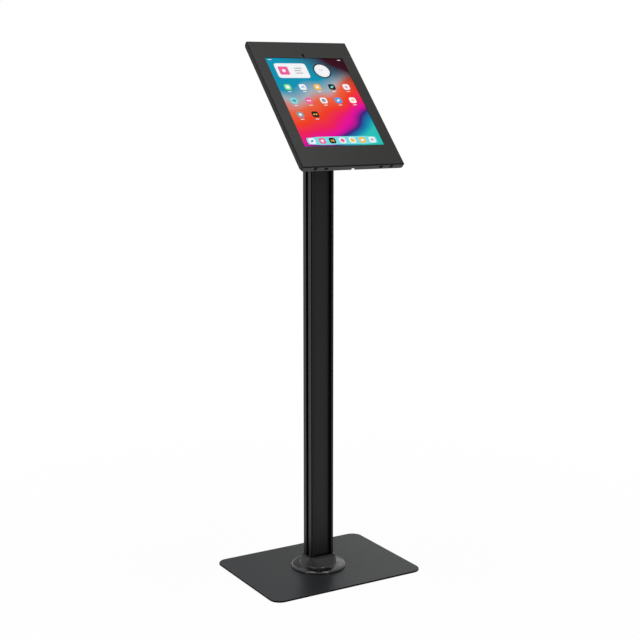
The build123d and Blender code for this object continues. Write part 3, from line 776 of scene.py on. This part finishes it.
# Tilt bolt: steel cap bolt with a knurled round head and a hexagon socket, through both ears
# and the post. Its nut clamps the washers and friction discs, so the tilt stays where it is set.
tilt_point = Vector(joints["enclosure_tilt"]["pos_m"])
bolt_low, bolt_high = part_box("tilt_bolt")
washer_low, washer_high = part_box("tilt_washers")
bolt_head_radius = bolt_high.z - tilt_point.z
bolt_shank_radius = 0.004
bolt_socket_half_flats = 0.003
bolt_socket_depth = 0.004
bolt_socket_chamfer = 0.0003
bolt_tip_share = 0.7
bolt_tip_depth = 1.1
bolt_pitch = 0.00125
bolt_thread_depth = 0.0005
bolt_root_start = 0.45
bolt_root_end = 0.55
bolt_crest_start = 0.95
bolt_edge = 0.0008
bolt_edge_middle = 0.375
thread_runout = 0.0015
tip_chamfer = 0.0007
knurl_teeth = 36
knurl_depth = 0.00022
bolt_segments = knurl_teeth * 4


def knurled(radius):
    return lambda angle: radius - knurl_depth * (0.5 - 0.5 * math.cos(angle * knurl_teeth))


def lay_across(right, up, out):
    return tilt_point + Vector((out, right, up))


def tilt_bolt_rows():
    head_start = washer_high.x
    head_end = bolt_high.x
    yield hexagon(bolt_socket_half_flats * bolt_tip_share), head_end - bolt_socket_depth * bolt_tip_depth
    yield hexagon(bolt_socket_half_flats), head_end - bolt_socket_depth
    yield hexagon(bolt_socket_half_flats), head_end - bolt_socket_chamfer
    yield hexagon(bolt_socket_half_flats + bolt_socket_chamfer), head_end
    yield disc(bolt_head_radius - bolt_edge), head_end
    yield disc(bolt_head_radius - bolt_edge * bolt_edge_middle), head_end - bolt_edge / 2
    yield knurled(bolt_head_radius), head_end - bolt_edge
    yield knurled(bolt_head_radius), head_start + bolt_edge / 2
    yield disc(bolt_head_radius - bolt_edge / 2), head_start
    yield disc(bolt_shank_radius), head_start
    thread_start = washer_low.x + thread_runout
    yield disc(bolt_shank_radius), thread_start
    turns = int((thread_start - bolt_low.x - bolt_pitch) / bolt_pitch)
    for turn in range(turns):
        start = thread_start - bolt_pitch * turn
        yield disc(bolt_shank_radius - bolt_thread_depth), start - bolt_pitch * bolt_root_start
        yield disc(bolt_shank_radius - bolt_thread_depth), start - bolt_pitch * bolt_root_end
        yield disc(bolt_shank_radius), start - bolt_pitch * bolt_crest_start
    yield disc(bolt_shank_radius - tip_chamfer), bolt_low.x


bolt_builder = bmesh.new()
skin_rows(bolt_builder, tilt_bolt_rows(), bolt_segments, lay_across)
place_piece("tilt_bolt", bolt_builder, [black_steel], "stand", ["tilt_bolt"], crease=25)
dress("tilt_nut", black_steel)


# Friction discs and ring: natural nylon, stamped from sheet, between the tilting and turning
# faces. They set the drag of both motions and show as thin pale lines at the joints.
def nylon_sockets(shade, place):
    milk = grain(shade, place, 300)
    return {
        "Base Color": milk.blend((0.66, 0.64, 0.58), (0.74, 0.72, 0.67)),
        "Roughness": 0.40 + milk * 0.15,
        "Normal": relief(shade, milk, 0.00002, 0.5),
    }


nylon = surfaced("nylon", nylon_sockets)
dress("tilt_friction_washers", nylon)
dress("swivel_friction_ring", nylon)


# Tilt bracket and swivel plate: laser-cut and bent steel, powder coated black like the cover.
# The bracket turns on the bolt and carries the swivel plate, which is screwed to the tray.
powder_coat = surfaced("powder_coat", powder_sockets)
dress("tilt_bracket", powder_coat)
dress("swivel_plate", powder_coat)


# Swivel bolt, its split spring washer and nut: they hold the swivel plate to the bracket's
# flange. The spring washer is a short coil of square wire, flattened when the nut is tight.
dress("swivel_bolt", zinc_steel)
dress("swivel_nut", black_steel)


def face_spot(right, up, out):
    """A place by its way right, up along the face and out of it, from where both axes meet."""
    return tilt_point + Vector((right, 0, 0)) + face_up * up + face_out * out


def face_way(point):
    """A place's way right, up along the face and out of it, from where both axes meet."""
    way = point - tilt_point
    return way.x, way.dot(face_up), way.dot(face_out)


def face_reach(group):
    """The least and the greatest of these three ways over a group of points."""
    ways = [face_way(point) for point in group]
    return [min(way) for way in zip(*ways)], [max(way) for way in zip(*ways)]


coil_steps = 64
coil_split = math.radians(9)
coil_wire_share = 0.86
coil = islands("swivel_spring_washer")[0]
coil_low, coil_high = face_reach(coil)
coil_back = coil_low[2]
coil_reach = coil_high[0]
coil_bore = min(math.hypot(*face_way(point)[:2]) for point in coil)
coil_height = coil_high[2] - coil_back
coil_wire = coil_height * coil_wire_share
coil_builder = bmesh.new()
coil_corners = []
for step in range(coil_steps + 1):
    share = step / coil_steps
    turn = coil_split / 2 + (2 * math.pi - coil_split) * share
    lift = coil_back + (coil_height - coil_wire) * share
    top = lift + coil_wire
    ring = []
    for reach, out in ((coil_bore, lift), (coil_reach, lift), (coil_reach, top), (coil_bore, top)):
        spot = face_spot(reach * math.cos(turn), reach * math.sin(turn), out)
        ring.append(coil_builder.verts.new(spot))
    coil_corners.append(ring)
skin(coil_builder, coil_corners)
place_piece(
    "swivel_spring_washer", coil_builder, [zinc_steel], "enclosure", ["swivel_spring_washer"],
)


# Press nuts: short turned steel bushes pressed into the tray, with a tapped hole for the
# swivel screws and the security screws.
dress("swivel_press_nuts", zinc_steel)
dress("screw_press_nuts", zinc_steel)


# Enclosure: steel sheet folded into a tray with hooks, and a cover folded and welded at its
# corners, ground smooth, with the window, the camera slot and the locking lower wall.
# Painted shade darkens folds, cut edges and countersinks; painted light makes the lower wall paler.
lower_wall_reach = 0.006
lower_wall_end = min(point.dot(face_up) for point in islands("front_cover")[0]) + lower_wall_reach
countersink_reach = 0.0052
countersink_fade = 0.0004
# The tones below are painted shade, but for the cover's lower wall tone, which is painted light.
countersink_shade_tone = (0.0010, 0.0010, 0.0010)
fold_slope = (0.84, 0.97)
level_shade_tone = (0.0008, 0.0008, 0.0008)
side_shade_tone = (0.0112, 0.0110, 0.0105)
side_fold_share = (0, 0.45)
wall_slope = (0.80, 0.97)
cover_wall_light_tone = (0.060, 0.060, 0.059)
shell_wall_shade_tone = (0.0010, 0.0010, 0.0010)


def cover_sockets(shade, place, painted_wall_tone=cover_wall_light_tone):
    sockets = powder_sockets(shade, place, 0.11, (0.0134, 0.0130, 0.0121), (0.0158, 0.0153, 0.0143))
    facing = place.other("Normal")
    outward = facing.along(face_out)
    sideways = facing.along((1, 0, 0))
    beside = sideways * sideways
    # Away from the face, folds, edges and walls turn to painted shade: near-black on level ones, a little
    # darker on the sides.
    fold_shade_tone = beside.within(*side_fold_share).blend(level_shade_tone, side_shade_tone)
    face_tone = (outward * outward).within(*fold_slope).blend(fold_shade_tone, sockets["Base Color"])
    # The lower wall near the foot takes painted light on the cover and painted shade on the tray.
    downhill = facing.along(-face_up).within(*wall_slope)
    at_foot = 1 - place.along(face_up).within(lower_wall_end, lower_wall_end + lower_wall_reach / 2)
    tone_with_painted_light = (downhill * at_foot).blend(face_tone, painted_wall_tone)
    # A near-black ring round each security screw is painted shade for its countersink.
    for group in islands("security_screws"):
        off_middle = place.off(group_middle(group))
        clear = off_middle.within(countersink_reach, countersink_reach + countersink_fade)
        tone_with_painted_light = clear.blend(countersink_shade_tone, tone_with_painted_light)
    sockets["Base Color"] = tone_with_painted_light
    return sockets


def shell_sockets(shade, place):
    """The cover's coat with painted shade on the lower flange, so that the hook slots look dark."""
    return cover_sockets(shade, place, shell_wall_shade_tone)


dress("front_cover", surfaced("cover_coat", cover_sockets))
dress("back_shell", surfaced("shell_coat", shell_sockets))


# Foam pads and blocks: closed-cell foam cut with a knife and stuck in the tray, so their
# faces bulge a little between the tablet and the steel and their edges are soft.
def foam_sockets(shade, place):
    cells = shade.node("TexVoronoi", {"feature": "F1"}, {"Vector": place, "Scale": 1500}, "Distance")
    patch = grain(shade, place, 90)
    return {
        "Base Color": patch.blend((0.012, 0.012, 0.013), (0.024, 0.024, 0.025)),
        "Roughness": 0.86 + cells.within(0, 0.6) * 0.1,
        "Normal": relief(shade, cells, 0.0003, 0.8),
    }


foam = surfaced("foam", foam_sockets)
foam_edge_round = 5
stuck_share = 0.99


def foam_piece(group, bulge, steps=10):
    """A soft block in the space of one solid, with rounded edges and drawn-in, crowned sides."""
    low, high = face_reach(group)
    middle = [(low[axis] + high[axis]) / 2 for axis in range(3)]
    half = [(high[axis] - low[axis]) / 2 for axis in range(3)]
    builder = bmesh.new()
    bmesh.ops.create_cube(builder, size=2)
    bmesh.ops.subdivide_edges(builder, edges=builder.edges, cuts=steps, use_grid_fill=True)
    for point in builder.verts:
        share = [max(-1, min(1, value)) for value in point.co]
        norm = sum(abs(value) ** foam_edge_round for value in share) ** (1 / foam_edge_round)
        soft = [value / norm for value in share]
        spread = [0.5 - 0.5 * math.cos(math.pi * (1 - abs(value))) for value in soft]
        crown = 1 - bulge + bulge * spread[0] * spread[1] ** 0.5
        side = 1 - bulge * (1 - spread[2])
        right = middle[0] + half[0] * soft[0] * side
        up = middle[1] + half[1] * soft[1] * side
        out = middle[2] + half[2] * (share[2] if abs(share[2]) > stuck_share else soft[2] * crown)
        point.co = face_spot(right, up, out)
    return builder


for node, bulge in (("foam_back_pads", 0.03), ("foam_edge_blocks", 0.04)):
    for number, group in enumerate(islands(node)):
        builder = foam_piece(group, bulge)
        piece = place_piece(f"{node}_{number}", builder, [foam], "enclosure", [node], crease=60)


# Tablet: a thin slab milled from aluminium and blasted to a fine matt, with a black glass
# front. Only the lit display and the camera show through the openings of the cover.
def blasted_sockets(shade, place):
    blast = grain(shade, place, 3000, 2)
    return {
        "Base Color": blast.blend((0.36, 0.37, 0.39), (0.43, 0.44, 0.46)),
        "Metallic": 1.0,
        "Roughness": 0.38 + blast * 0.10,
        "Normal": relief(shade, blast, 0.00001, 0.6),
    }


def border_glass_sockets(shade, place):
    smear = grain(shade, place, 30, 4)
    return {
        "Base Color": smear.blend((0.004, 0.004, 0.0045), (0.007, 0.007, 0.0075)),
        "Roughness": 0.04 + smear.within(0.45, 0.9) * 0.12,
        "Specular IOR Level": 0.04,
    }


dress("tablet_body", surfaced("tablet_metal", blasted_sockets))
dress("tablet_bezel", surfaced("black_glass", border_glass_sockets))


# Camera: a small domed lens of coated glass, sunk in a stepped black ring that is set in the
# tablet's front glass. It looks out through the cover's camera slot.
lens_low, lens_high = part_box("tablet_camera")
lens_rise = face_way((lens_low + lens_high) / 2)[1]
lens_radius = (lens_high.x - lens_low.x) / 2
lens_way_low, lens_way_high = face_reach(islands("tablet_camera")[0])
glass_back = lens_way_low[2]
glass_front = lens_way_high[2]
glass_break = 0.0001
ring_drop = 0.0003
ring_slope = 0.00005
pupil_radius = lens_radius * 0.40
pupil_depth = 0.0006
pupil_rise = 0.0003
pupil_steps = 6
lens_segments = 48


def lay_lens(right, up, out):
    return face_spot(right, lens_rise + up, out)


def lens_sockets(shade, place):
    depth = grain(shade, place, 800)
    return {
        "Base Color": depth.blend((0.002, 0.003, 0.005), (0.004, 0.005, 0.009)),
        "Roughness": 0.02 + depth * 0.04,
        "Specular IOR Level": 0.02,
    }


lens_glass = surfaced("lens_glass", lens_sockets)
lens_builder = bmesh.new()
lens_rows = [
    (lens_radius * 0.98, glass_back),
    (lens_radius * 0.98, glass_front - glass_break),
    (lens_radius * 0.94, glass_front),
    (lens_radius * 0.80, glass_front),
    (lens_radius * 0.76, glass_front - ring_drop),
    (lens_radius * 0.45, glass_front - ring_drop - ring_slope),
    (pupil_radius, glass_front - pupil_depth),
]
for step in range(1, pupil_steps):
    turn = math.pi / 2 * step / pupil_steps
    rise = pupil_rise * math.sin(turn)
    lens_rows.append((pupil_radius * math.cos(turn), glass_front - pupil_depth + rise))
skin_rows(lens_builder, [(disc(reach), out) for reach, out in lens_rows], lens_segments, lay_lens)
place_piece(
    "tablet_camera", lens_builder, [lens_glass], "enclosure", ["tablet_camera"], crease=30,
)


# Display: lit panel laminated behind the front glass, with a plain picture of soft, slanting
# colour bands that darkens towards the top right corner. It shows in the cover's window.
display_low, display_high = face_reach(islands("tablet_display")[0])
display_width = display_high[0] - display_low[0]
display_height = display_high[1] - display_low[1]
display_front = display_high[2]
screen_light = 1.0
glow_low = 0.93
band_slant = -0.28
band_drift = 0.35
wave_height = 0.10
wave_run = 3.1
wave_start = 0.4
night_slant = 0.55
night_drift = 0.3
night_edge = (1.10, 1.42)


def lit_sockets(wash, colour):
    """The panel's surface: it gives its own light and mirrors little."""
    return {
        "Base Color": (0.002, 0.002, 0.002),
        "Roughness": 0.08 + wash * 0.04,
        "Specular IOR Level": 0.02,
        "Emission Color": colour,
        "Emission Strength": screen_light,
    }


def picture_sockets(shade, place):
    base = tilt_point.dot(face_up) + display_low[1]
    rise = (place.along(face_up) - base) / display_height
    run = (place.along((1, 0, 0)) - display_low[0]) / display_width
    drift = grain(shade, place, 9, 1)
    slope = rise + (run - 0.5) * band_slant + (drift - 0.5) * band_drift
    sweep = slope.math("SINE", run * wave_run + wave_start) * wave_height
    bands = shade.node("ValToRGB", {"stops": (
        (0.00, (0.02, 0.52, 0.46)),
        (0.10, (0.00, 0.20, 0.42)),
        (0.17, (0.03, 0.01, 0.20)),
        (0.25, (0.75, 0.00, 0.33)),
        (0.34, (0.84, 0.01, 0.10)),
        (0.45, (0.86, 0.04, 0.015)),
        (0.60, (0.80, 0.12, 0.05)),
        (0.70, (0.36, 0.42, 0.47)),
        (0.84, (0.00, 0.28, 0.44)),
    )}, {0: slope + sweep})
    night = (rise + run * night_slant + (drift - 0.5) * night_drift).within(*night_edge)
    return lit_sockets(drift, night.blend(bands, (0.035, 0.0, 0.008)))


dress("tablet_display", surfaced("display", picture_sockets))


def glow_finish(name, colour):
    def sockets_of(shade, place):
        wash = grain(shade, place, 60, 1)
        return lit_sockets(wash, wash.blend(tuple(value * glow_low for value in colour), colour))
    return surfaced(name, sockets_of)


glows = {
    "white": (0.92, 0.93, 0.95),
    "green": (0.20, 0.72, 0.22),
    "blue": (0.06, 0.36, 0.86),
    "amber": (0.95, 0.50, 0.06),
    "rose": (0.88, 0.12, 0.34),
    "dark": (0.012, 0.013, 0.016),
    "cyan": (0.20, 0.75, 0.78),
    "grey": (0.30, 0.31, 0.34),
}
glow_order = list(glows)
glow_finishes = [glow_finish("glow_" + name, colour) for name, colour in glows.items()]
mark_layer = 0.00003
marks_builder = bmesh.new()


def mark(outline, right, up, layer, glow, segments=24, turn=0.0):
    """A thin lit shape on the display, in one of the glows; layers lie on each other."""
    def lay(across, along, out):
        spun_right = across * math.cos(turn) - along * math.sin(turn)
        spun_up = across * math.sin(turn) + along * math.cos(turn)
        return face_spot(right + spun_right, up + spun_up, out)

    rows = [(outline, display_front + mark_layer * height) for height in (layer - 1, layer)]
    before = set(marks_builder.faces)
    skin_rows(marks_builder, rows, segments, lay)
    for face in set(marks_builder.faces) - before:
        face.material_index = glow_order.index(glow)


tile = 0.0172
tile_half = tile / 2
hidden_edge = 0.002
shown_width = display_width - 2 * hidden_edge
shown_height = display_height - 2 * hidden_edge
left_edge = display_low[0] + hidden_edge
top_edge = display_high[1] - hidden_edge
low_edge = display_low[1] + hidden_edge


# Panels on the display: one with a tile and three bars at the top left, and beside it a dial
# with twelve ticks and two hands. They are lit shapes in thin layers on the picture.
panel_half_x = shown_width * 0.20
panel_half_y = shown_height * 0.085
panel_corner = 0.006
panel_x = left_edge + shown_width * 0.275
panel_y = top_edge - shown_height * 0.145
patch_half = 0.0125
patch_corner = 0.003
patch_x = panel_x - panel_half_x * 0.52
dot_radius = 0.0045
bar_start = panel_x + panel_half_x * 0.10
bar_shares = (0.34, 0.26, 0.30)
bar_half_height = 0.0012
bar_corner = 0.0011
bar_drop = 0.0075
mark(rounded_box(panel_half_x, panel_half_y, panel_corner), panel_x, panel_y, 1, "white", 64)
mark(rounded_box(patch_half, patch_half, patch_corner), patch_x, panel_y, 2, "rose", 40)
mark(disc(dot_radius), patch_x, panel_y, 3, "white", 32)
for row, share in enumerate(bar_shares):
    bar_half = panel_half_x * share
    bar_y = panel_y + bar_drop - bar_drop * row
    mark(rounded_box(bar_half, bar_half_height, bar_corner), bar_start + bar_half, bar_y, 2, "grey", 32)
dial_x = left_edge + shown_width * 0.66
dial_radius = panel_half_y
dial_face_radius = dial_radius * 0.86
tick_half = (0.0011, 0.0004)
tick_corner = 0.0003
tick_reach = dial_radius * 0.72
hand_half_width = 0.0005
hand_corner = 0.0004
hands = ((0.0032, math.radians(62)), (0.0048, math.radians(148)))
mark(disc(dial_radius), dial_x, panel_y, 1, "dark", 64)
mark(disc(dial_face_radius), dial_x, panel_y, 2, "white", 64)
spokes = [(rounded_box(*tick_half, tick_corner), tick_reach, math.pi / 6 * hour, 12) for hour in range(12)]
spokes += [(rounded_box(half, hand_half_width, hand_corner), half, turn, 16) for half, turn in hands]
for outline, reach, turn, segments in spokes:
    spoke_x = dial_x + reach * math.cos(turn)
    spoke_y = panel_y + reach * math.sin(turn)
    mark(outline, spoke_x, spoke_y, 3, "dark", segments, turn)


# Marks on the display: rows of rounded tiles with simple figures and a bar under each, a tray
# with seven more, and a short bar in each top corner. They too are thin lit shapes.
figures = ("dot", "bars", "kite", "drop", "cross", "bars", "pair", "dot", "drop", "cross", "kite", "pair")
mark_glows = (
    ("green", "white"), ("white", "blue"), ("amber", "white"), ("dark", "cyan"),
    ("white", "rose"), ("cyan", "dark"), ("rose", "white"), ("white", "grey"),
    ("blue", "white"), ("white", "amber"), ("grey", "white"), ("dark", "amber"),
)


def figure(kind, right, up, glow, layer):
    """A simple figure on a tile, sized in shares of the tile."""
    if kind == "dot":
        mark(disc(tile * 0.30), right, up, layer, glow, 28)
    elif kind == "bars":
        for place in range(3):
            bar = rounded_box(tile * 0.055, tile * (0.14 + 0.07 * place), tile * 0.03)
            mark(bar, right + tile * 0.18 * (place - 1), up, layer, glow, 16)
    elif kind == "kite":
        mark(rounded_box(tile * 0.20, tile * 0.20, tile * 0.04), right, up, layer, glow, 24, math.pi / 4)
    elif kind == "drop":
        mark(rounded_box(tile * 0.26, tile * 0.14, tile * 0.13), right, up, layer, glow, 24, math.pi / 5)
    elif kind == "cross":
        mark(rounded_box(tile * 0.28, tile * 0.07, tile * 0.04), right, up, layer, glow, 20)
        mark(rounded_box(tile * 0.07, tile * 0.28, tile * 0.04), right, up, layer + 1, glow, 20)
    else:
        for side in (-1, 1):
            mark(disc(tile * 0.13), right + side * tile * 0.17, up, layer, glow, 20)


columns = 5
first_column = 0.125
column_step = 0.1875
first_row = 0.335
row_step = 0.155
tile_corner = tile_half * 0.62
label_half = (tile * 0.34, 0.0009)
label_corner = 0.0008
label_drop = tile * 0.80
for number in range(len(figures)):
    row, column = divmod(number, columns)
    right = left_edge + shown_width * (first_column + column_step * column)
    up = top_edge - shown_height * (first_row + row_step * row)
    back_glow, front_glow = mark_glows[number]
    mark(rounded_box(tile_half, tile_half, tile_corner), right, up, 1, back_glow, 40)
    figure(figures[number], right, up, front_glow, 2)
    mark(rounded_box(*label_half, label_corner), right, up - label_drop, 1, "white", 20)

tray_half = (shown_width * 0.44, 0.0115)
tray_corner = 0.006
tray_x = (display_low[0] + display_high[0]) / 2
tray_y = low_edge + shown_height * 0.062
tray_count = 7
tray_margin = 0.12
tray_run = 0.76
tray_tile_half = tile_half * 0.95
tray_tile_corner = tile_half * 0.6
mark(rounded_box(*tray_half, tray_corner), tray_x, tray_y, 1, "cyan", 64)
for number in range(tray_count):
    right = left_edge + shown_width * (tray_margin + tray_run * number / (tray_count - 1))
    back_glow, front_glow = mark_glows[(number * 5 + 1) % len(mark_glows)]
    mark(rounded_box(tray_tile_half, tray_tile_half, tray_tile_corner), right, tray_y, 2, back_glow, 40)
    figure(figures[(number * 7 + 3) % len(figures)], right, tray_y, front_glow, 3)
corner_bars = ((-1, 0.0065), (1, 0.0045))
corner_bar_inset = 0.011
corner_bar_y = top_edge - 0.0045
for side, reach in corner_bars:
    bar_x = side * (shown_width / 2 - corner_bar_inset)
    mark(rounded_box(reach, label_half[1], label_corner), bar_x, corner_bar_y, 1, "white", 20)
place_piece("display_marks", marks_builder, glow_finishes, "enclosure")
